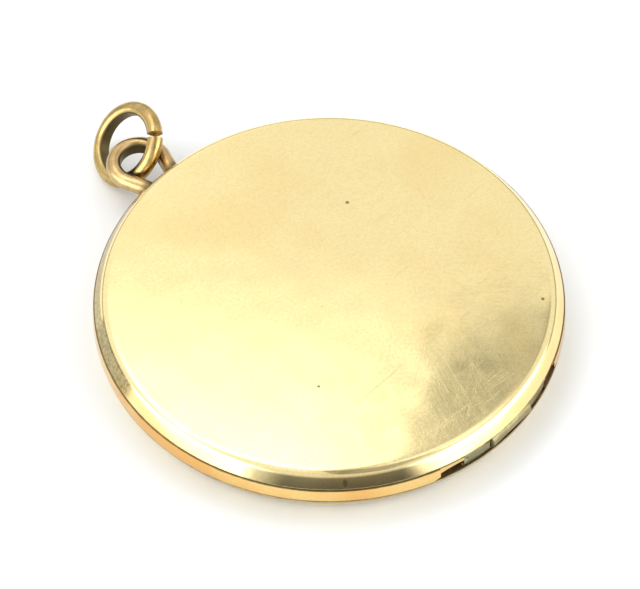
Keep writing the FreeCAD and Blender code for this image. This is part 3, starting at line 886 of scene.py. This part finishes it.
def make_world():
    """Even studio surround made of broad soft panels and two shaded parts."""
    world = bpy.data.worlds.new("studio")
    bpy.context.scene.world = world
    world.use_nodes = True
    n = Nodes(world.node_tree)
    coords = n.add("ShaderNodeTexCoord").outputs["Generated"]
    ray = n.mapped(coords, rotation=(0.0, 0.0, math.radians(-VIEW_AZIMUTH)))
    x_part, y_part, z_part = (along(n, ray, axis) for axis in Matrix.Identity(3))
    level = surround(n, ray, x_part, y_part, z_part)
    for shade_part in (dark_behind(n, x_part, y_part, z_part), overhead_flag(n, x_part, z_part)):
        level = n.math("MULTIPLY", level, n.math("SUBTRACT", 1.0, shade_part))
    background = n.add("ShaderNodeBackground", {"Color": (0.99, 1.0, 1.0, 1.0), "Strength": level})
    output = n.add("ShaderNodeOutputWorld")
    n.put(output.inputs["Surface"], background.outputs[0])


def make_camera():
    """Camera at the picture's viewing angle."""
    azimuth, elevation = math.radians(VIEW_AZIMUTH), math.radians(VIEW_ELEVATION)
    back = Vector((math.sin(azimuth) * math.cos(elevation),
                   -math.cos(azimuth) * math.cos(elevation), math.sin(elevation)))
    data = bpy.data.cameras.new("camera")
    data.sensor_width = 36.0
    data.lens = LENS / FRAME_WIDTH * data.sensor_width
    data.shift_x = FRAME_SHIFT[0] / FRAME_WIDTH
    data.shift_y = FRAME_SHIFT[1] / FRAME_WIDTH
    data.clip_start = 0.01
    data.clip_end = 20.0
    camera = bpy.data.objects.new("camera", data)
    bpy.context.scene.collection.objects.link(camera)
    camera.location = (UP * PART_Z + back * VIEW_DISTANCE) * MM
    camera.rotation_mode = "QUATERNION"
    camera.rotation_quaternion = back.to_track_quat("Z", "Y")
    bpy.context.scene.camera = camera


# ---------------------------------------------------------------- assembly

def place(obj, body, node, material, slot):
    """Dress a piece, fasten it to its body and let it stand for its CAD node."""
    obj.data.materials.clear()
    obj.data.materials.append(material)
    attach(obj, body)
    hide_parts(node)


FRONT_SEAM = PART_Z + SEAM[1.0]
BACK_SEAM = PART_Z - SEAM[-1.0]
# Painted shade line along the parting seam: height, depth.
PARTING = (PART_Z, 0.13)
SPECKS = ((6.4, 3.9, 0.18), (-6.7, -4.9, 0.13), (8.8, -11.4, 0.16))   # x, y, radius on the cover
# A small dent shown as a painted dark spot, the painted shade of its hollow: x, y, radius.
DENT_SHADE_SPOT = (-11.1, -11.0, 0.20)
# Painted dark reflection on the cover's left edge: middle, half angle, inner radius, strength.
PAINTED_REFLECTION_EDGES = ((151.0, 13.0, 15.25, 0.85), (125.0, 28.0, 15.38, 0.7))
# Cover: specks, a dent's painted shade, painted dark reflection on its left edge and painted shade along its
# seam.
cover_gold = gold("cover_gold", roughness=0.06, scratch=0.45, waviness=0.55, seed=3, tarnish=0.45,
                  shade_lines=((FRONT_SEAM, 0.15),), painted_reflection_arcs=PAINTED_REFLECTION_EDGES, spots=SPECKS + (DENT_SHADE_SPOT,))
# Front rim: a deeper orange copy of the gold, painted reflection of warm light off the table, with painted
# shade along its seams.
reflection_tinted_rim_gold = gold("reflection_tinted_rim_gold", colour=(0.86, 0.595, 0.23), wrapped=True, roughness=0.12, scratch=0.6,
                 waviness=0.6, tarnish=0.7, shade_lines=(PARTING, (FRONT_SEAM, 0.09)), seed=11)
# Back rim: a darker olive copy of the gold, painted shade for its side facing the table, with patina and
# painted shade along its seams.
painted_shade_back_rim_gold = gold("painted_shade_back_rim_gold", colour=(0.56, 0.46, 0.27), wrapped=True, roughness=0.27, waviness=0.6,
                  patina=0.35, shade_lines=(PARTING, (BACK_SEAM, 0.09)), seed=13)
# Back cover: painted shade along its seam.
bottom_gold = gold("bottom_gold", colour=(0.93, 0.76, 0.40), roughness=0.2, patina=0.2,
                   shade_lines=((BACK_SEAM, 0.10),), seed=17)
# Ring and loop: painted shade on the inner faces of their eyes.
ring_gold = gold("ring_gold", colour=(0.62, 0.45, 0.18), roughness=0.16, scratch=0.6, waviness=0.3,
                 patina=0.3, eye=(ring_centre, ring_axis, RING_RADIUS - 0.36), seed=23)
loop_gold = gold("loop_gold", colour=(0.64, 0.45, 0.21), roughness=0.17, scratch=0.6, waviness=0.3,
                 patina=0.3, eye=(LOOP_CENTRE, UP, LOOP_RADIUS - 0.37), seed=27)
inner_gold = gold("inner_gold", roughness=0.2, wrapped=True, seed=31)
# Hinge: painted shade lines along the seams beside its tubes.
hinge_metal = gold("hinge_metal", colour=(0.38, 0.365, 0.215), roughness=0.30, tarnish=0.5, patina=0.3,
                   shade_lines=((FRONT_SEAM + 0.06, 0.16), (PART_Z + 0.02, 0.08)), seed=43)

place(make_front_cover(), "front", "front_cover", cover_gold, "gold_fill")
place(make_front_rim(), "front", "front_rim", reflection_tinted_rim_gold, "gold_fill")
place(make_back_cover(), "back", "back_cover", bottom_gold, "gold_fill")
place(make_back_rim(), "back", "back_rim", painted_shade_back_rim_gold, "gold_fill")
place(make_lip(), "back", "closing_lip", inner_gold, "gold_fill")
place(make_frame("front_retainer", 1.0), "front", "front_frame", inner_gold, "gold_fill")
place(make_frame("back_retainer", -1.0), "back", "back_frame", inner_gold, "gold_fill")
place(make_center_knuckle(), "back", "hinge_knuckle_center", hinge_metal, "hinge_metal")
for word, side in (("left", -1.0), ("right", 1.0)):
    place(make_side_knuckle("hinge_tube_" + word, side), "front", "hinge_knuckle_" + word,
          hinge_metal, "hinge_metal")
place(make_pin(), "front", "hinge_pin", hinge_metal, "pin_metal")
place(make_bail(), "back", "bail_loop", loop_gold, "gold_fill")
place(make_jump_ring(), "ring", "jump_ring", ring_gold, "gold_fill")
insert = paper()
sheet = clear_sheet()
for body, side in (("front", 1.0), ("back", -1.0)):
    picture = make_disc(body + "_insert", side, 1.56, 1.73)
    window = make_disc(body + "_clear", side, 1.31, 1.55)
    place(picture, body, body + "_picture", insert, "picture_paper")
    place(window, body, body + "_window", sheet, "clear_sheet")

make_floor()
make_world()
make_camera()
bpy.context.scene.view_settings.view_transform = "Standard"
